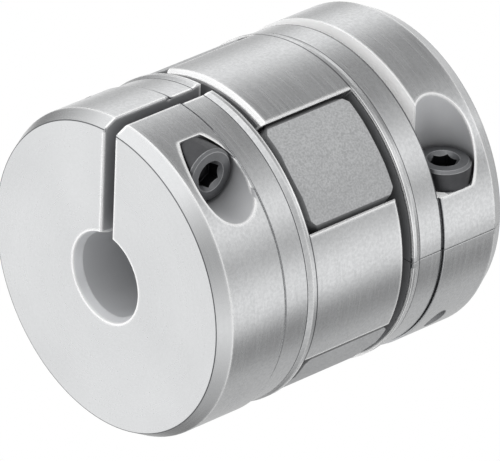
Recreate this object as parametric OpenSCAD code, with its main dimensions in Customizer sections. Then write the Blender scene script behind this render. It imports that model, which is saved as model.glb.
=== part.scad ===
// Clamp-hub jaw coupling: two aluminium hubs with two jaws each, turned a quarter turn
// to one another, and an elastomer spider with four teeth between the jaws.
// Each hub is split by one slot and closed on its shaft by one socket head screw.
// The coupling stands on the end face of the rear hub, its axis along +Z, and the
// front hub is on top. The front hub's slot is toward +Y, the rear hub's toward +X.

/* [Hubs] */
// Outside diameter of the coupling
coupling_d = 42; // [38:0.5:52]
// Height of a hub from its end face to the plane where its jaws start
hub_h = 15.6; // [14:0.1:24]
// Space between the two hubs, where the jaws and the spider lie
hub_space = 15.8; // [10:0.1:22]
// Bore of the front hub
front_bore_d = 11; // [6:0.5:14]
// Bore of the rear hub
rear_bore_d = 11; // [6:0.5:14]
// Lead-in of a bore, measured out from its wall
lead_in_r = 0.45; // [0.1:0.05:0.6]
// Lead-in of a bore, measured along the axis
lead_in_h = 1.2; // [0.3:0.1:2.5]
// Chamfer round the end face, measured inward
end_chamfer_r = 1.0; // [0.3:0.1:1.5]
// Chamfer round the end face, measured along the axis
end_chamfer_h = 1.85; // [0.4:0.05:2.2]

/* [Turned details] */
// How far the pocket of a screw head reaches into the fine turned groove
groove_bite = 0.25; // [0.1:0.05:0.3]
// Width of the fine turned groove
groove_w = 0.35; // [0.35:0.05:0.6]
// Depth of the fine turned groove
groove_depth = 0.45; // [0.35:0.05:0.8]
// How far the strip behind the groove lies below the outside
strip_step = 0.25; // [0.1:0.05:0.3]
// Distance of the strip's end from the plane where the jaws start
strip_end = 1.35; // [1.25:0.05:2.5]
// Width of the cone that rises from the strip back to the outside
lip_w = 0.7; // [0.3:0.05:0.9]
// Broken edge of the hub next to the jaws, measured inward
rim_break_r = 0.4; // [0.1:0.05:0.5]
// Broken edge of the hub next to the jaws, measured along the axis
rim_break_h = 0.5; // [0.1:0.05:0.6]

/* [Jaws] */
// Angle that one jaw covers at the outside
jaw_angle = 50; // [40:1:56]
// Inner diameter of the jaws
jaw_inner_d = 23.6; // [23:0.2:27]
// Radius of the hollow flanks of the jaws
flank_r = 12; // [10:0.5:30]
// Gap between the tip of a jaw and the other hub
jaw_tip_gap = 1.3; // [0.4:0.1:3]
// Broken edge at the tip of a jaw
jaw_tip_break = 0.5; // [0.1:0.05:0.8]
// Broken edge along the flanks of a jaw
jaw_edge_break = 0.25; // [0.1:0.05:0.5]

/* [Spider] */
// Inner diameter of the ring that joins the teeth
spider_inner_d = 18; // [14.5:0.5:19.5]
// How far the ring lies back from the ends of the teeth
ring_recess = 0.5; // [0.2:0.1:2]
// Clearance between the ring and the jaws
spider_ring_play = 0.3; // [0.2:0.05:0.6]
// Play between a tooth and the flanks of the jaws
tooth_play = 0.06; // [0.03:0.01:0.2]
// How far the teeth lie below the outside of the coupling
tooth_sink = 0.2; // [0.1:0.1:1.5]
// Gap between the spider and the front hub
spider_front_gap = 0.4; // [0.2:0.1:1]
// Gap between the spider and the rear hub
spider_rear_gap = 0.8; // [0.2:0.1:1.5]
// Radius of the corners of a tooth, seen from outside
tooth_corner_r = 4.2; // [1:0.1:4.8]
// Bevel round the outer face of a tooth, measured across that face
tooth_bevel_w = 0.55; // [0.2:0.05:1]
// Bevel round the outer face of a tooth, measured inward
tooth_bevel_depth = 1.1; // [0.3:0.1:2]

/* [Clamping] */
// Width of the slot in the front hub
front_slot_w = 2.0; // [0.5:0.1:3]
// Width of the slot in the rear hub, which is a fine cut
rear_slot_w = 0.1; // [0.05:0.05:3]
// Broken edge along the front hub's slot
slot_break = 0.15; // [0.05:0.05:0.4]
// Distance of a screw's axis from the outside of the coupling
screw_edge = 4.6; // [4.4:0.1:5.4]
// Distance of a screw's axis from the end face
screw_z = 6.75; // [6.1:0.05:7]
// Distance of the seat under a screw head from the middle of the slot
seat_y = 6.8; // [6:0.1:8]
// Width of the saw cut over the seat in the rear hub
kerf_w = 1.65; // [0.5:0.05:3]

/* [Screws] */
// Nominal diameter of a screw
screw_d = 4; // [3:0.5:4.5]
// Length of a screw under its head
screw_len = 14; // [10:1:15]
// Diameter of a screw head
head_d = 7; // [5.5:0.1:7.2]
// Height of the front screw's head
front_head_h = 4; // [2.6:0.1:4.5]
// Height of the rear screw's head, which is of the low kind
rear_head_h = 2.8; // [2.6:0.1:4.5]
// Size of the hexagon socket across its flats
socket_af = 3; // [2:0.5:3.5]
// Depth of the hexagon socket
socket_depth = 2; // [1:0.1:2.2]
// Countersink round the mouth of the socket
socket_lead = 0.3; // [0.1:0.05:0.5]
// Chamfer round the top of a screw head
head_chamfer = 0.35; // [0.1:0.05:0.6]
// Chamfer at the end of a screw
point_chamfer = 0.5; // [0.2:0.1:0.8]
// Play round a screw head in its pocket
head_play = 0.3; // [0.15:0.05:0.4]
// Play round a screw in its clearance hole
shank_play = 0.25; // [0.1:0.05:0.5]
// Play round a screw in its threaded hole
thread_play = 0.05; // [0.03:0.01:0.1]
// How far the threaded hole runs on past the end of a screw
thread_run = 1.2; // [0.5:0.1:1.6]
// Diameter of the hole that runs on from the thread to the outside
outlet_d = 2.4; // [1.5:0.1:3.4]

/* [Hidden] */
$fn = 96;
// How far a cutting body reaches past what it cuts
over = 1;
// How far the corner arcs of a tooth reach past its flanks
tooth_corner_out = 0.2;
// Outside radius
coupling_r = coupling_d / 2;
coupling_len = 2 * hub_h + hub_space;
// Distance of a screw's axis from the axis of the coupling
screw_x = coupling_r - screw_edge;
pocket_r = head_d / 2 + head_play;
// Depth of the threaded hole from the middle of the slot
thread_end = screw_len - seat_y + thread_run;
// The groove, the strip behind it and the hub's edge next to the jaws
groove_z = screw_z + pocket_r - groove_bite;
groove_end = groove_z + groove_w;
lip_z = hub_h - strip_end;
rim_z = hub_h - rim_break_h;
// Jaws and teeth
jaw_len = hub_space - jaw_tip_gap;
jaw_inner_r = jaw_inner_d / 2;
gap_half_angle = (180 - 2 * jaw_angle) / 4;
tooth_angles = [45, 135, 225, 315];
// The hollow flank runs through the points at both radii on the radial line at half the gap
flank_half_chord = (coupling_r - jaw_inner_r) / 2;
flank_mid_r = (coupling_r + jaw_inner_r) / 2;
flank_inset = sqrt(pow(flank_r, 2) - pow(flank_half_chord, 2));
flank_centre_x = flank_mid_r * cos(gap_half_angle) + flank_inset * sin(gap_half_angle);
flank_centre_y = flank_mid_r * sin(gap_half_angle) - flank_inset * cos(gap_half_angle);
// Spider
spider_len = hub_space - spider_front_gap - spider_rear_gap;
spider_ring_r = jaw_inner_r - spider_ring_play;
tooth_outer_r = coupling_r - tooth_sink;
// The teeth start in the middle of the ring's wall
tooth_root_r = (spider_inner_d / 2 + spider_ring_r) / 2;
// Half the greatest width of a tooth
tooth_flank_y = flank_centre_y + flank_r;
// The outline of a tooth is a little wider than its flanks, so only its corners cut them
tooth_half_w = tooth_flank_y + tooth_corner_out;
// Hexagon socket
socket_r = socket_af / 2 / cos(30);
// The countersink leans by 45 degrees, from the flats out past the corners
socket_lead_h = socket_r + socket_lead - socket_af / 2;

// Turned body of a hub, end face down, without its bore
module hub_blank() {
    rotate_extrude($fn = 180)
        polygon([
            [0, 0],
            [coupling_r - end_chamfer_r, 0],
            [coupling_r, end_chamfer_h],
            [coupling_r, groove_z],
            [coupling_r - groove_depth, groove_z],
            [coupling_r - groove_depth, groove_end],
            [coupling_r - strip_step, groove_end],
            [coupling_r - strip_step, lip_z],
            [coupling_r, min(lip_z + lip_w, rim_z)],
            [coupling_r, rim_z],
            [coupling_r - rim_break_r, hub_h],
            [0, hub_h]
        ]);
}

// Space of one tooth between two jaws, round the +X direction, with play taken off each flank
module tooth_space(play, height) {
    intersection_for(side = [-1, 1])
        translate([flank_centre_x, side * flank_centre_y, 0])
            cylinder(r = flank_r - play, h = height, $fn = 120);
}

// Wedge that breaks the outer edges of one tooth space, as wide as the space at the outside
module tooth_space_edges(height) {
    edge_y = coupling_r * sin(gap_half_angle);
    edge_x = coupling_r * cos(gap_half_angle);
    width = jaw_edge_break * sqrt(2);
    for (side = [-1, 1])
        translate([edge_x, side * edge_y, 0])
            rotate(45 + side * gap_half_angle)
                translate([-width / 2, -width / 2, 0])
                    cube([width, width, height]);
}

// The two jaws, along +Y and -Y, from the hub's plane up
module jaws() {
    difference() {
        translate([0, 0, hub_h - over])
            rotate_extrude($fn = 180)
                polygon([
                    [jaw_inner_r, 0],
                    [coupling_r - rim_break_r, 0],
                    [coupling_r - rim_break_r, over - rim_break_h],
                    [coupling_r, over - rim_break_h],
                    [coupling_r, over + jaw_len - jaw_tip_break],
                    [coupling_r - jaw_tip_break, over + jaw_len],
                    [jaw_inner_r, over + jaw_len]
                ]);
        translate([0, 0, hub_h])
            for (angle = tooth_angles)
                rotate(angle) {
                    tooth_space(0, jaw_len + over);
                    tooth_space_edges(jaw_len + over);
                }
        // The other hub's jaws lie along X
        translate([0, 0, hub_h])
            linear_extrude(jaw_len + over)
                for (side = [0, 180])
                    rotate(side)
                        polygon([
                            [0, 0],
                            [coupling_d, coupling_d],
                            [coupling_d, -coupling_d]
                        ]);
    }
}

// Slot from the bore out along +X, which may have its edges broken at the end face and outside
module slot(width, edges) {
    translate([0, -width / 2, -over])
        cube([coupling_r + over, width, hub_h + 2 * over]);
    if (edges)
        slot_edges(width);
}

// Broken edges of a slot, along the outside and across the end face
module slot_edges(width) {
    side = slot_break * sqrt(2);
    for (edge = [-1, 1]) {
        translate([coupling_r, edge * width / 2, -over])
            rotate(45)
                translate([-side / 2, -side / 2, 0])
                    cube([side, side, hub_h + 2 * over]);
        translate([0, edge * width / 2, 0])
            rotate([45, 0, 0])
                translate([0, -side / 2, -side / 2])
                    cube([coupling_r + over, side, side]);
    }
}

// Pocket, clearance hole, threaded hole and outlet of the clamp screw, along Y
module screw_holes() {
    translate([screw_x, 0, screw_z]) {
        translate([0, seat_y, 0])
            rotate([-90, 0, 0])
                cylinder(r = pocket_r, h = coupling_r);
        rotate([-90, 0, 0])
            cylinder(r = screw_d / 2 + shank_play, h = seat_y + over);
        rotate([90, 0, 0])
            cylinder(r = screw_d / 2 + thread_play, h = thread_end);
        rotate([90, 0, 0])
            cylinder(d = outlet_d, h = coupling_r);
    }
}

// Bore with its lead-in
module bore(diameter) {
    translate([0, 0, -over])
        cylinder(d = diameter, h = hub_h + 2 * over);
    rotate_extrude()
        polygon([
            [0, -over],
            [diameter / 2 + lead_in_r * (1 + over / lead_in_h), -over],
            [diameter / 2, lead_in_h],
            [0, lead_in_h]
        ]);
}

// Saw cut over the seat, down to the plane of the seat, next to the turned groove, and the
// corner between it and the pocket taken away
module kerf() {
    translate([-coupling_r - over, seat_y, groove_end - kerf_w])
        cube([coupling_d + 2 * over, coupling_r, kerf_w]);
    translate([screw_x, seat_y, screw_z])
        cube([coupling_r, coupling_r, groove_end - kerf_w / 2 - screw_z]);
}

// One hub, end face down: slot toward +X, jaws along Y, screw head toward +Y
module hub(bore_d, slot_w, sawn) {
    difference() {
        union() {
            hub_blank();
            jaws();
        }
        bore(bore_d);
        slot(slot_w, !sawn);
        screw_holes();
        if (sawn)
            kerf();
    }
}

// Puts a piece of the rear hub's frame in the front hub: turned over about the diagonal of X and Y
module at_front() {
    translate([0, 0, coupling_len])
        rotate(a = 180, v = [1, 1, 0])
            children();
}

// Socket head screw at its place in a hub with its end face down
module clamp_screw(head_h) {
    translate([screw_x, seat_y, screw_z])
        rotate([-90, 0, 0])
            difference() {
                union() {
                    rotate_extrude()
                        polygon([
                            [0, 0],
                            [head_d / 2, 0],
                            [head_d / 2, head_h - head_chamfer],
                            [head_d / 2 - head_chamfer, head_h],
                            [0, head_h]
                        ]);
                    translate([0, 0, -screw_len])
                        rotate_extrude()
                            polygon([
                                [0, 0],
                                [screw_d / 2 - point_chamfer, 0],
                                [screw_d / 2, point_chamfer],
                                [screw_d / 2, screw_len],
                                [0, screw_len]
                            ]);
                }
                translate([0, 0, head_h - socket_depth])
                    cylinder(r = socket_r, h = socket_depth + over, $fn = 6);
                translate([0, 0, head_h - socket_lead_h])
                    cylinder(r1 = socket_af / 2, r2 = socket_r + socket_lead + over, h = socket_lead_h + over);
            }
}

// One tooth of the spider, round the +X direction, from the ring out
module tooth() {
    intersection() {
        tooth_space(tooth_play, spider_len);
        // Turned outside with bevelled ends, and the ring's middle kept clear
        rotate_extrude($fn = 180)
            polygon([
                [tooth_root_r, 0],
                [tooth_outer_r - tooth_bevel_depth, 0],
                [tooth_outer_r, tooth_bevel_w],
                [tooth_outer_r, spider_len - tooth_bevel_w],
                [tooth_outer_r - tooth_bevel_depth, spider_len],
                [tooth_root_r, spider_len]
            ]);
        // Bevels along the flanks
        translate([0, 0, -over])
            linear_extrude(spider_len + 2 * over)
                tooth_section();
        // Round corners, seen from outside
        rotate([90, 0, 90])
            linear_extrude(coupling_r)
                tooth_outline();
    }
}

// Section of a tooth across its length, wide at the root and bevelled at the outer face
module tooth_section() {
    bevel_x = sqrt(pow(tooth_outer_r, 2) - pow(tooth_flank_y, 2)) - tooth_bevel_depth;
    end_x = bevel_x + 2 * tooth_bevel_depth;
    polygon([
        [0, -tooth_flank_y],
        [bevel_x, -tooth_flank_y],
        [end_x, 2 * tooth_bevel_w - tooth_flank_y],
        [end_x, tooth_flank_y - 2 * tooth_bevel_w],
        [bevel_x, tooth_flank_y],
        [0, tooth_flank_y]
    ]);
}

// Outline of a tooth seen from outside: its width across, its length up. The corner arcs
// cross the ends at a small angle instead of touching them.
module tooth_outline() {
    inset = 0.95 * tooth_corner_r;
    corner_y = tooth_half_w - inset;
    intersection() {
        translate([-tooth_half_w, 0])
            square([2 * tooth_half_w, spider_len]);
        union() {
            translate([-corner_y, -over])
                square([2 * corner_y, spider_len + 2 * over]);
            translate([-tooth_half_w - over, inset])
                square([2 * (tooth_half_w + over), spider_len - 2 * inset]);
            for (side = [-1, 1], end = [inset, spider_len - inset])
                translate([side * corner_y, end])
                    circle(r = tooth_corner_r);
        }
    }
}

module front_hub() {
    color("#d4d6d8")
        at_front()
            hub(front_bore_d, front_slot_w, false);
}

module rear_hub() {
    color("#d4d6d8")
        hub(rear_bore_d, rear_slot_w, true);
}

module spider() {
    color("#9a9c9e")
        translate([0, 0, hub_h + spider_rear_gap])
            union() {
                difference() {
                    translate([0, 0, ring_recess])
                        cylinder(r = spider_ring_r, h = spider_len - 2 * ring_recess);
                    translate([0, 0, -over])
                        cylinder(d = spider_inner_d, h = spider_len + 2 * over);
                }
                for (angle = tooth_angles)
                    rotate(angle)
                        tooth();
            }
}

module front_clamp_screw() {
    color("#4a4b4d")
        at_front()
            clamp_screw(front_head_h);
}

module rear_clamp_screw() {
    color("#4a4b4d")
        clamp_screw(rear_head_h);
}

front_hub();
rear_hub();
spider();
front_clamp_screw();
rear_clamp_screw();
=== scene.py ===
import functools
import math
import bpy
from mathutils import Matrix, Vector


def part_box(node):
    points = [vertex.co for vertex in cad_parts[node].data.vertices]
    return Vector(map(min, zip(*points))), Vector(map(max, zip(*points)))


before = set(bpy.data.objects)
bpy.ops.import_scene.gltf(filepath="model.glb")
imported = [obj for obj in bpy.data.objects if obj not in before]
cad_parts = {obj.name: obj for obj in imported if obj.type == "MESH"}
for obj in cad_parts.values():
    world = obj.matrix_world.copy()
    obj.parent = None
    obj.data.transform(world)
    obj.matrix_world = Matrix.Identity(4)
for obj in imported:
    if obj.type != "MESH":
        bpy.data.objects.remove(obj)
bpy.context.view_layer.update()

MM = 0.001

# Sizes in mm that the finishes depend on. Heights count from a hub's end face. The frame gives how
# large the coupling is, how high a hub is with its jaws and where a screw's axis lies:
hub_low, hub_high = (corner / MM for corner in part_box("front_hub"))
screw_low, screw_high = (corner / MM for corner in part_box("rear_clamp_screw"))
HEAD_R = 3.5
COUPLING_R = -hub_low.y
COUPLING_LEN = hub_high.z
JAW_TIP_Z = hub_high.z - hub_low.z
SCREW_OUT = screw_high.x - HEAD_R
SCREW_Z = (screw_low.z + screw_high.z) / 2

# The others follow from the values in the part's source
FACE_R = 20.0
CHAMFER_H = 1.85
BORE_R = 5.5
LEAD_IN_R = 0.45
LEAD_IN_H = 1.2
HUB_H = 15.6
RIM_BREAK_R = 0.4
RIM_BREAK_H = 0.5
JAW_TIP_BREAK = 0.5
GROOVE_Z = 10.475
GROOVE_W = 0.35
GROOVE_FLOOR_R = 20.55
STRIP_R = 20.75
STRIP_END_Z = 14.25
SEAT_Y = 6.8
POCKET_R = 3.8
OUTLET_R = 1.2
KERF_W = 1.65
KERF_Z = 9.825
FRONT_SLOT_W = 2.0

# Farther than any point of the coupling, for a mask that is open on one side
FAR = 99.0
# How far a mask reaches past the edge of a flat, a turned groove or a hole, stops short of an edge,
# and reaches under the surface that it is meant for
PAST_FLAT = 0.04
PAST_GROOVE = 0.015
PAST_HOLE = 0.12
SHORT = 0.01
UNDER = 0.1
# The outside of the coupling is what lies less deep than this
SKIN = 0.015
# Depth of the painted highlight on the rim at the tip of a jaw
JAW_TIP_RIM = 0.9
# Thin lines of painted shade along edges and steps: their width, and how far before their edge they start
# where they don't start on it
FACE_LINE_W = 0.18
FACE_LINE_DEPTH = 0.08
KERF_LINE_W = 0.16
STRIP_LINE_W = 0.14
STRIP_LINE_START = 0.1
JAW_LINE_W = 0.18
JAW_LINE_START = 0.11
# No painted highlight is drawn on edges nearer than this to the outlet, the rear slot, the groove and the
# face's line
NEAR_OUTLET = 0.8
NEAR_REAR_SLOT = 0.7
NEAR_GROOVE = 0.55
NEAR_FACE_LINE = 0.4
NEAR_FACE_LINE_DEPTH = 0.35


def linear(hex_colour):
    """A colour written as sRGB hex, as linear values."""
    out = []
    for i in (1, 3, 5):
        c = int(hex_colour[i:i + 2], 16) / 255
        out.append(c / 12.92 if c <= 0.04045 else ((c + 0.055) / 1.055) ** 2.4)
    return (*out, 1.0)


def add_node(tree, kind, inputs, output=0, **settings):
    """Adds a node with its settings, fills its inputs and gives back a pair: the node and the name or
    number of one of its outputs. An input that is given as such a pair is linked, any other is set."""
    node = tree.nodes.new(kind)
    for setting, value in settings.items():
        setattr(node, setting, value)
    for socket, value in inputs.items():
        if isinstance(value, tuple) and isinstance(value[0], bpy.types.Node):
            tree.links.new(value[0].outputs[value[1]], node.inputs[socket])
        else:
            node.inputs[socket].default_value = value
    return node, output


def empty_nodes(owner):
    """Empties the nodes of a material or a world, and gives back add_node for them."""
    owner.use_nodes = True
    owner.node_tree.nodes.clear()
    return functools.partial(add_node, owner.node_tree)


def fade(add, value, none, full, most=1.0):
    """A mask that rises from 0, where a value is "none", to "most", where it is "full"."""
    return add("ShaderNodeMapRange", {"Value": value, "From Min": none, "From Max": full,
                                      "To Min": 0.0, "To Max": most})


def paint(add, base, layers):
    """Lays colours over a base, one after another, each as far as its mask says."""
    # The two colours of a mix node are its inputs 6 and 7, and their mixture is its output 2
    for mask, colour in layers:
        base = add("ShaderNodeMix", {0: mask, 6: base, 7: linear(colour)}, 2, data_type="RGBA")
    return base


class HubPlaces:
    """Masks for the places where a hub was turned, drilled, slit and sawn: 1 there and 0 elsewhere.
    Those whose names start with "near" are wider, for what is kept away from such a place."""

    def __init__(self, add, at_front):
        self.add = add
        self.place = add("ShaderNodeTexCoord", {}, "Object")
        in_mm = add("ShaderNodeVectorMath", {0: self.place, "Scale": 1 / MM}, operation="SCALE")
        split = add("ShaderNodeSeparateXYZ", {0: in_mm})[0]
        x, y, self.height = (split, "X"), (split, "Y"), (split, "Z")
        flat = add("ShaderNodeCombineXYZ", {"X": x, "Y": y})
        self.radius = add("ShaderNodeVectorMath", {0: flat}, "Value", operation="LENGTH")
        self.angle = add("ShaderNodeMath", {0: y, 1: x}, operation="ARCTAN2")
        # "out" runs toward the hub's slot, "along" runs along its screw toward the screw's head
        if at_front:
            out, along = y, x
            self.from_end = add("ShaderNodeMath", {0: COUPLING_LEN, 1: self.height}, operation="SUBTRACT")
        else:
            out, along = x, y
            self.from_end = self.height
        self.mark_cuts(out, along)
        self.mark_turned(at_front)

    def mark_cuts(self, out, along):
        section = self.add("ShaderNodeCombineXYZ", {"X": out, "Y": self.from_end})
        off_screw = self.add("ShaderNodeVectorMath", {0: section, 1: (SCREW_OUT, SCREW_Z, 0.0)}, "Value",
                             operation="DISTANCE")
        head_side = self.span(along, SEAT_Y - UNDER, FAR)
        outlet_side = self.span(along, -FAR, 0.0)
        slot_side = self.span(out, BORE_R - UNDER, FAR)
        self.bore = self.ring(outer=BORE_R + LEAD_IN_R - SHORT)
        self.pocket = self.both(self.span(off_screw, -FAR, POCKET_R + PAST_HOLE), head_side)
        self.outlet = self.both(self.span(off_screw, -FAR, OUTLET_R + PAST_HOLE), outlet_side)
        self.near_outlet = self.both(self.span(off_screw, -FAR, OUTLET_R + NEAR_OUTLET), outlet_side)
        half_slot = FRONT_SLOT_W / 2 + PAST_FLAT
        self.front_slot = self.both(self.span(along, -half_slot, half_slot), slot_side)
        self.near_rear_slot = self.both(self.span(along, -NEAR_REAR_SLOT, NEAR_REAR_SLOT), slot_side)
        kerf_low = KERF_Z - KERF_W / 2
        kerf_high = KERF_Z + KERF_W / 2
        self.kerf = self.both(self.ring(kerf_low - PAST_FLAT, kerf_high + PAST_FLAT), head_side)
        # A line of painted shade on the strip, along the edge of the saw cut
        self.kerf_line = self.both(self.ring(kerf_high, kerf_high + KERF_LINE_W, STRIP_R - UNDER), head_side)

    def mark_turned(self, at_front):
        self.end_face = self.ring(high=CHAMFER_H)
        self.lead_in = self.ring(high=LEAD_IN_H, inner=BORE_R + PAST_FLAT,
                                 outer=BORE_R + LEAD_IN_R + PAST_FLAT)
        rim_inner = COUPLING_R - RIM_BREAK_R - PAST_FLAT
        self.between_jaws = self.ring(low=HUB_H - PAST_FLAT, outer=rim_inner)
        self.rim = self.ring(HUB_H - RIM_BREAK_H - SHORT, HUB_H - SHORT, rim_inner, COUPLING_R - SKIN)
        self.jaw_tip = self.ring(low=JAW_TIP_Z - JAW_TIP_BREAK, inner=COUPLING_R - JAW_TIP_RIM)
        groove_low = GROOVE_Z - GROOVE_W / 2 - PAST_GROOVE
        groove_high = GROOVE_Z + GROOVE_W / 2 + PAST_GROOVE
        if at_front:
            # The far wall is hidden here, so the painted shade of the groove takes in some of the strip
            # beyond it
            groove_high += UNDER
        self.groove = self.ring(groove_low, groove_high, GROOVE_FLOOR_R - UNDER)
        self.groove_wall = self.ring(groove_low, groove_high, STRIP_R + PAST_GROOVE)
        self.near_groove = self.ring(GROOVE_Z - NEAR_GROOVE, GROOVE_Z + NEAR_GROOVE, GROOVE_FLOOR_R)
        # Lines of painted shade round the face, where the strip ends and where the jaws stand on the hub
        self.face_line = self.ring(high=FACE_LINE_DEPTH, inner=FACE_R - FACE_LINE_W / 2,
                                   outer=FACE_R + FACE_LINE_W / 2)
        self.near_face_line = self.ring(high=NEAR_FACE_LINE_DEPTH, inner=FACE_R - NEAR_FACE_LINE,
                                        outer=FACE_R + NEAR_FACE_LINE)
        strip_line_low = STRIP_END_Z - STRIP_LINE_START
        self.strip_line = self.ring(strip_line_low, strip_line_low + STRIP_LINE_W, STRIP_R - UNDER)
        jaw_line_low = HUB_H - JAW_LINE_START
        self.jaw_line = self.ring(jaw_line_low, jaw_line_low + JAW_LINE_W, COUPLING_R - SKIN)

    def span(self, value, low, high):
        """Where a value lies between two limits."""
        return self.add("ShaderNodeMath", {0: value, 1: (low + high) / 2, 2: (high - low) / 2},
                        operation="COMPARE")

    def ring(self, low=-FAR, high=FAR, inner=-FAR, outer=FAR):
        """What lies between two heights over the end face and between two radii."""
        return self.both(self.span(self.from_end, low, high), self.span(self.radius, inner, outer))

    def both(self, a, b):
        return self.add("ShaderNodeMath", {0: a, 1: b}, operation="MULTIPLY")

    def any(self, first, *others):
        for other in others:
            first = self.add("ShaderNodeMath", {0: first, 1: other}, operation="MAXIMUM")
        return first

    def without(self, mask, *taken):
        left = self.add("ShaderNodeMath", {0: 1.0, 1: self.any(*taken)}, operation="SUBTRACT")
        return self.both(mask, left)


# Turned aluminium, anodised clear. To the eye it is a light, satin metal. The marks of the turning
# tool run round the axis and stretch each highlight across them, and what was bored, drilled or sawn
# is duller. Broken edges, the rims and the lit wall of the saw cut get a nearly white painted highlight,
# and painted shade darkens the hollows, the groove, the face between the jaws and thin lines at edges.
# Marks and grain are too fine to show in the render, so they are drawn as coarse as they need to show.
# Sizes are in mm.
TOOL_MARK_W = 0.3125
TOOL_MARK_LEN = 7.3
HUB_GRAIN = 0.385
HUB_CLOUD = 11.1
HUB_RELIEF = 0.004
EDGE_HIGHLIGHT_W = 0.68


def turned_aluminium(name, at_front):
    finish = bpy.data.materials.new(name)
    add = empty_nodes(finish)
    at = HubPlaces(add, at_front)
    if at_front:
        cut = at.any(at.pocket, at.front_slot, at.bore, at.between_jaws, at.outlet)
        shade_lines = at.any(at.face_line, at.jaw_line, at.strip_line)
        plain_edge = at.any(at.near_outlet, at.near_groove, at.near_face_line)
        rim_highlight = fade(add, at.rim, none=0.0, full=1.0, most=0.4)
        sawn = 0.0
    else:
        cut = at.any(at.pocket, at.bore, at.between_jaws, at.outlet)
        shade_lines = at.any(at.face_line, at.jaw_line, at.strip_line, at.kerf_line)
        plain_edge = at.any(at.near_outlet, at.near_rear_slot, at.near_face_line,
                            at.without(at.near_groove, at.kerf, at.pocket))
        rim_highlight = fade(add, at.any(at.rim, at.jaw_tip), none=0.0, full=1.0, most=0.5)
        sawn = at.without(at.kerf, at.kerf_line)

    # The noise for the tool marks is drawn out round the axis, to their length on the outside
    drawn_out = add("ShaderNodeMath", {0: at.angle, 1: COUPLING_R * TOOL_MARK_W / TOOL_MARK_LEN},
                    operation="MULTIPLY")
    rings = add("ShaderNodeCombineXYZ", {"X": at.radius, "Y": at.height, "Z": drawn_out})
    tool_marks = add("ShaderNodeTexNoise", {"Vector": rings, "Scale": 1 / TOOL_MARK_W, "Detail": 3.0,
                                            "Roughness": 0.6})
    grain = add("ShaderNodeTexNoise", {"Vector": at.place, "Scale": 1 / (HUB_GRAIN * MM), "Detail": 2.0})
    cloud = add("ShaderNodeTexNoise", {"Vector": at.place, "Scale": 1 / (HUB_CLOUD * MM), "Detail": 2.0})

    # Painted highlights, nearly white, on edges: where a widely rounded normal leaves the true one, but not
    # in a corner
    true_normal = add("ShaderNodeNewGeometry", {}, "True Normal")
    widely_rounded = add("ShaderNodeBevel", {"Radius": EDGE_HIGHLIGHT_W * MM}, samples=8)
    agree = add("ShaderNodeVectorMath", {0: widely_rounded, 1: true_normal}, "Value",
                operation="DOT_PRODUCT")
    corner_light = add("ShaderNodeAmbientOcclusion", {"Distance": 0.6 * MM}, "AO", samples=8)
    edge = at.both(fade(add, agree, none=0.997, full=0.965), fade(add, corner_light, none=0.62, full=0.8))
    # The rims and the lit wall of the saw cut get the same painted highlight
    edge = at.any(at.without(edge, plain_edge, shade_lines), rim_highlight, sawn)
    # Hollows that little light reaches are drawn darker
    hollow_light = add("ShaderNodeAmbientOcclusion", {"Distance": 4.0 * MM}, "AO", samples=8)
    hollow = at.both(cut, fade(add, hollow_light, none=0.72, full=0.3, most=0.64))
    # The end face and its chamfer have less grain than what lies round the axis
    grain_kept = add("ShaderNodeMapRange", {"Value": at.end_face, "To Min": 1.0, "To Max": 0.2})
    speckle = at.both(fade(add, grain, none=0.35, full=0.65, most=0.3), grain_kept)

    colour = paint(add, linear("#cccdce"), (
        (fade(add, cloud, none=0.3, full=0.7), "#d2d3d4"),
        (speckle, "#a9aaab"),
        (cut, "#b6b7b9"),
        (at.pocket, "#c2c3c5"),
        (at.bore, "#d2d3d5"),
        (at.lead_in, "#dcdddf"),
        (at.without(hollow, at.between_jaws, at.bore), "#7c7d80"),
        # Painted shade on the face between the jaws and in the outlet
        (at.any(at.between_jaws, at.outlet), "#8e8f91"),
        # Painted shade in the groove, and a lighter painted shade on its outer wall
        (at.without(at.groove, at.kerf, at.pocket), "#6a6b6d"),
        (at.without(at.groove_wall, at.kerf, at.pocket), "#b4b5b7"),
        # Thin lines of painted shade
        (shade_lines, "#68696b"),
        # The painted highlight on edges, rims and the saw cut's wall
        (edge, "#ffffff")))
    rough = add("ShaderNodeMapRange", {"Value": tool_marks, "From Min": 0.3, "From Max": 0.7,
                                       "To Min": 0.18, "To Max": 0.26})
    rough = add("ShaderNodeMath", {0: grain, 1: 0.05, 2: rough}, operation="MULTIPLY_ADD")
    rough = add("ShaderNodeMath", {0: cut, 1: 0.28, 2: rough}, operation="MULTIPLY_ADD")
    # Cuts scatter the light, most of all in the saw cut, and the painted highlights are made less metallic,
    # so that their white shows
    metallic = add("ShaderNodeMath", {0: at.any(cut, edge), 1: -0.55, 2: 1.0}, operation="MULTIPLY_ADD")
    metallic = add("ShaderNodeMath", {0: sawn, 1: -0.4, 2: metallic}, operation="MULTIPLY_ADD")
    rounded = add("ShaderNodeBevel", {"Radius": 0.2 * MM}, samples=6)
    marked = add("ShaderNodeBump", {"Strength": 0.25, "Distance": HUB_RELIEF * MM, "Height": tool_marks,
                                    "Normal": rounded})
    grained = add("ShaderNodeBump", {"Strength": 0.3, "Distance": HUB_RELIEF * MM, "Height": grain,
                                     "Normal": marked})
    tangent = add("ShaderNodeTangent", {}, direction_type="RADIAL", axis="Z")
    shader = add("ShaderNodeBsdfPrincipled", {"Base Color": colour, "Metallic": metallic,
                                              "Roughness": rough, "Anisotropic": 0.6,
                                              "Anisotropic Rotation": 0.25, "Tangent": tangent,
                                              "Normal": grained})
    add("ShaderNodeOutputMaterial", {"Surface": shader})
    return finish


# Elastomer, moulded in one piece. To the eye it is a matt grey with a fine, even grain. Painted shade
# darkens all but the outer faces of the teeth, the bevels round them among these, and more wherever it
# sinks between the jaws. The grain is drawn coarser than it is, so that it shows. Sizes are in mm.
ELASTOMER_GRAIN = 0.25
ELASTOMER_CLOUD = 6.25
ELASTOMER_RELIEF = 0.02


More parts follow.
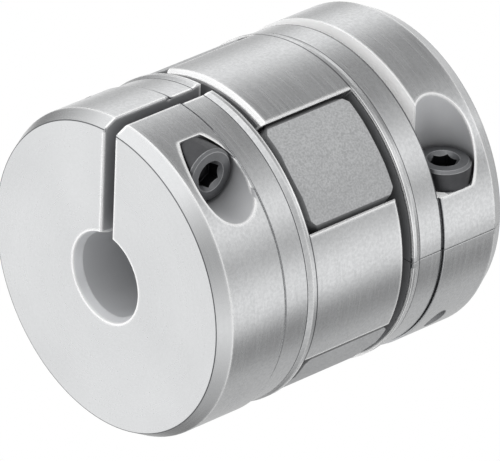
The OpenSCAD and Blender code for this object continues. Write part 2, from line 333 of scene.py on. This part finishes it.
def moulded_elastomer():
    finish = bpy.data.materials.new("moulded grey elastomer")
    add = empty_nodes(finish)
    place = add("ShaderNodeTexCoord", {}, "Object")
    grain = add("ShaderNodeTexNoise", {"Vector": place, "Scale": 1 / (ELASTOMER_GRAIN * MM), "Detail": 4.0,
                                       "Roughness": 0.65})
    cloud = add("ShaderNodeTexNoise", {"Vector": place, "Scale": 1 / (ELASTOMER_CLOUD * MM), "Detail": 2.0})
    # Only the outer faces of the teeth face straight outward; all other faces get painted shade
    outward = add("ShaderNodeVectorMath", {0: place, 1: (1.0, 1.0, 0.0)}, operation="MULTIPLY")
    outward = add("ShaderNodeVectorMath", {0: outward}, operation="NORMALIZE")
    true_normal = add("ShaderNodeNewGeometry", {}, "True Normal")
    facing_out = add("ShaderNodeVectorMath", {0: outward, 1: true_normal}, "Value", operation="DOT_PRODUCT")
    gap_light = add("ShaderNodeAmbientOcclusion", {"Distance": 1.0 * MM}, "AO", samples=8)
    colour = paint(add, linear("#b4b5b6"), (
        (fade(add, cloud, none=0.3, full=0.7), "#bcbdbe"),
        (fade(add, grain, none=0.38, full=0.62, most=0.8), "#98999a"),
        # Painted shade where little light reaches between the jaws
        (fade(add, gap_light, none=0.96, full=0.55, most=0.9), "#6e6f70"),
        (fade(add, facing_out, none=0.97, full=0.9, most=0.75), "#6a6b6c")))
    rough = add("ShaderNodeMapRange", {"Value": grain, "From Min": 0.3, "From Max": 0.7,
                                       "To Min": 0.62, "To Max": 0.78})
    rounded = add("ShaderNodeBevel", {"Radius": 0.25 * MM}, samples=6)
    grained = add("ShaderNodeBump", {"Strength": 0.5, "Distance": ELASTOMER_RELIEF * MM, "Height": grain,
                                     "Normal": rounded})
    shader = add("ShaderNodeBsdfPrincipled", {"Base Color": colour, "Metallic": 0.0, "Roughness": rough,
                                              "IOR": 1.5, "Normal": grained})
    add("ShaderNodeOutputMaterial", {"Surface": shader})
    return finish


# Blackened alloy steel of a clamp screw. To the eye it is dark grey with a dull gloss. A painted
# highlight makes the edges of head and socket a little brighter, and painted shade darkens the head's
# flank and the inside of the socket. Its grain is drawn coarser than it is, so that it shows. Sizes are in
# mm.
STEEL_GRAIN = 0.286
STEEL_CLOUD = 2.0
STEEL_RELIEF = 0.006


def blackened_steel(name, axis):
    finish = bpy.data.materials.new(name)
    add = empty_nodes(finish)
    place = add("ShaderNodeTexCoord", {}, "Object")
    grain = add("ShaderNodeTexNoise", {"Vector": place, "Scale": 1 / (STEEL_GRAIN * MM), "Detail": 3.0})
    cloud = add("ShaderNodeTexNoise", {"Vector": place, "Scale": 1 / (STEEL_CLOUD * MM), "Detail": 2.0})
    true_normal = add("ShaderNodeNewGeometry", {}, "True Normal")
    rounded = add("ShaderNodeBevel", {"Radius": 0.16 * MM}, samples=6)
    agree = add("ShaderNodeVectorMath", {0: rounded, 1: true_normal}, "Value", operation="DOT_PRODUCT")
    along = add("ShaderNodeVectorMath", {0: true_normal, 1: axis}, "Value", operation="DOT_PRODUCT")
    along = add("ShaderNodeMath", {0: along}, operation="ABSOLUTE")
    hollow_light = add("ShaderNodeAmbientOcclusion", {"Distance": 2.2 * MM}, "AO", samples=8)
    colour = paint(add, linear("#747577"), (
        (fade(add, cloud, none=0.3, full=0.7), "#828385"),
        # Painted shade on the head's flank, a painted highlight on edges, and painted shade inside the
        # socket
        (fade(add, along, none=0.6, full=0.2, most=0.75), "#3a3a3c"),
        (fade(add, agree, none=0.99, full=0.93, most=0.8), "#d6d7d8"),
        (fade(add, hollow_light, none=0.92, full=0.45), "#2c2c2e")))
    rough = add("ShaderNodeMapRange", {"Value": grain, "From Min": 0.3, "From Max": 0.7,
                                       "To Min": 0.38, "To Max": 0.52})
    grained = add("ShaderNodeBump", {"Strength": 0.4, "Distance": STEEL_RELIEF * MM, "Height": grain,
                                     "Normal": rounded})
    shader = add("ShaderNodeBsdfPrincipled", {"Base Color": colour, "Metallic": 1.0, "Roughness": rough,
                                              "Normal": grained})
    add("ShaderNodeOutputMaterial", {"Surface": shader})
    return finish


FINISHES = {
    "front_hub": turned_aluminium("turned clear-anodised aluminium, front hub", at_front=True),
    "rear_hub": turned_aluminium("turned clear-anodised aluminium, rear hub", at_front=False),
    "spider": moulded_elastomer(),
    "front_clamp_screw": blackened_steel("blackened alloy steel, front screw", axis=(1.0, 0.0, 0.0)),
    "rear_clamp_screw": blackened_steel("blackened alloy steel, rear screw", axis=(0.0, 1.0, 0.0)),
}

for name, finish in FINISHES.items():
    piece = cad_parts[name]
    piece.data.materials.clear()
    piece.data.materials.append(finish)


# A studio round the coupling, in the world. What a direction shows depends on its azimuth round the
# coupling's axis, in degrees clockwise seen from the front, and on how far it looks to the front.
# The slot of the front hub is at azimuth 38 and the camera at 90. Each lamp and each dark card is the
# azimuth of its middle and how far it reaches to both sides, in degrees. The last "soft" degrees of
# that reach are its soft edge.
SLOT_AZIMUTH = 38.0
# Behind the coupling, which its round surfaces mirror
REAR_RING = {"walls": "#bbbbbb", "lamp": "#f6f6f6", "card": "#8c8c8c", "soft": 20,
             "lamps": ((90, 25), (150, 30), (280, 20), (335, 25)), "cards": ((30, 35), (180, 25))}
# Beside the coupling, which the chamfer of its end face mirrors at its sides
SIDE_RING = {"walls": "#d2d2d2", "lamp": "#ffffff", "card": "#808080", "soft": 60,
             "lamps": ((10, 80),), "cards": ((265, 95),)}
# In front of the coupling, which its end face and the chamfer mirror
FRONT_RING = {"walls": "#f2f2f2", "lamp": "#ffffff", "card": "#aeaeae", "soft": 40,
              "lamps": ((10, 80),), "cards": ((105, 45), (195, 45))}
# Where one ring gives way to the next, as cosines of the angle to the front
REAR_TO_SIDE = (-0.52, -0.36)
SIDE_TO_FRONT = (-0.05, 0.2)
STUDIO_STRENGTH = 1.3
# Metal mirrors the white backdrop this many degrees to both sides of its azimuth, behind this cosine
BACKDROP_AZIMUTH = 270.0
BACKDROP_REACH = 8.0
BACKDROP_BEHIND = -0.5


def away(add, azimuth, middle):
    """How many degrees an azimuth lies from a middle, to either side."""
    off = add("ShaderNodeMath", {0: azimuth, 1: middle}, operation="SUBTRACT")
    off = add("ShaderNodeMath", {0: off, 1: 180.0, 2: -180.0}, operation="WRAP")
    return add("ShaderNodeMath", {0: off}, operation="ABSOLUTE")


def ring_of_light(add, azimuth, walls, lamp, card, soft, lamps, cards):
    """Walls round the coupling, with lamps on them and dark cards before them."""
    placed = [(place, lamp) for place in lamps] + [(place, card) for place in cards]
    return paint(add, linear(walls), [
        (fade(add, away(add, azimuth, middle), none=reach, full=reach - soft), colour)
        for (middle, reach), colour in placed])


def studio(add):
    """The light that falls on the coupling, and a mask for the white backdrop that metal mirrors."""
    toward = add("ShaderNodeSeparateXYZ", {0: add("ShaderNodeTexCoord", {}, "Generated")})[0]
    frontward = (toward, "Z")
    turn = add("ShaderNodeMath", {0: (toward, "Y"), 1: (toward, "X")}, operation="ARCTAN2")
    azimuth = add("ShaderNodeMath", {0: turn, 1: math.degrees(-1), 2: 90 + SLOT_AZIMUTH},
                  operation="MULTIPLY_ADD")
    light = ring_of_light(add, azimuth, **REAR_RING)
    for ring, (start, end) in ((SIDE_RING, REAR_TO_SIDE), (FRONT_RING, SIDE_TO_FRONT)):
        further = add("ShaderNodeMapRange", {"Value": frontward, "From Min": start, "From Max": end},
                      interpolation_type="SMOOTHSTEP")
        light = add("ShaderNodeMix", {0: further, 6: light, 7: ring_of_light(add, azimuth, **ring)}, 2,
                    data_type="RGBA")
    at_backdrop = add("ShaderNodeMath", {0: away(add, azimuth, BACKDROP_AZIMUTH), 1: BACKDROP_REACH},
                      operation="LESS_THAN")
    behind = add("ShaderNodeMath", {0: frontward, 1: BACKDROP_BEHIND}, operation="LESS_THAN")
    return light, add("ShaderNodeMath", {0: at_backdrop, 1: behind}, operation="MULTIPLY")


def build_world():
    world = bpy.data.worlds.new("white studio")
    bpy.context.scene.world = world
    add = empty_nodes(world)
    light, backdrop = studio(add)
    lit = add("ShaderNodeBackground", {"Color": light, "Strength": STUDIO_STRENGTH})
    white = add("ShaderNodeBackground", {"Color": (1, 1, 1, 1), "Strength": 1.0})
    # The camera sees the white backdrop everywhere, and metal mirrors it where the mask says
    rays = add("ShaderNodeLightPath", {})[0]
    mirrored = add("ShaderNodeMath", {0: (rays, "Is Glossy Ray"), 1: (rays, "Is Transmission Ray")},
                   operation="MAXIMUM")
    mirrored = add("ShaderNodeMath", {0: mirrored, 1: backdrop}, operation="MULTIPLY")
    shown = add("ShaderNodeMath", {0: (rays, "Is Camera Ray"), 1: mirrored}, operation="MAXIMUM")
    both = add("ShaderNodeMixShader", {0: shown, 1: lit, 2: white})
    add("ShaderNodeOutputWorld", {"Surface": both})


build_world()

# The camera looks at a point near the coupling's middle, in mm, from an azimuth and an elevation in
# degrees. It is rolled round its line of sight, because the coupling lies on its side in the photo.
CAMERA_TARGET = (0.7404, -1.3903, 23.8683)
CAMERA_DISTANCE = 1087.345
CAMERA_AZIMUTH = 38.1021
CAMERA_ELEVATION = 36.7718
CAMERA_ROLL = -112.7929
SENSOR_W = 36.0
FOCAL_LENGTH = 639.24


def build_camera():
    camera_data = bpy.data.cameras.new("camera")
    camera_data.sensor_fit = "HORIZONTAL"
    camera_data.sensor_width = SENSOR_W
    camera_data.lens = FOCAL_LENGTH
    camera_data.clip_start = 0.1
    camera_data.clip_end = 10.0
    camera = bpy.data.objects.new("camera", camera_data)
    bpy.context.scene.collection.objects.link(camera)
    turned = (Matrix.Rotation(math.radians(CAMERA_AZIMUTH + 90), 4, "Z")
              @ Matrix.Rotation(math.radians(90 - CAMERA_ELEVATION), 4, "X")
              @ Matrix.Rotation(math.radians(CAMERA_ROLL), 4, "Z"))
    back_off = Matrix.Translation((0.0, 0.0, CAMERA_DISTANCE * MM))
    camera.matrix_world = Matrix.Translation(Vector(CAMERA_TARGET) * MM) @ turned @ back_off
    bpy.context.scene.camera = camera


build_camera()
bpy.context.scene.view_settings.view_transform = "Standard"
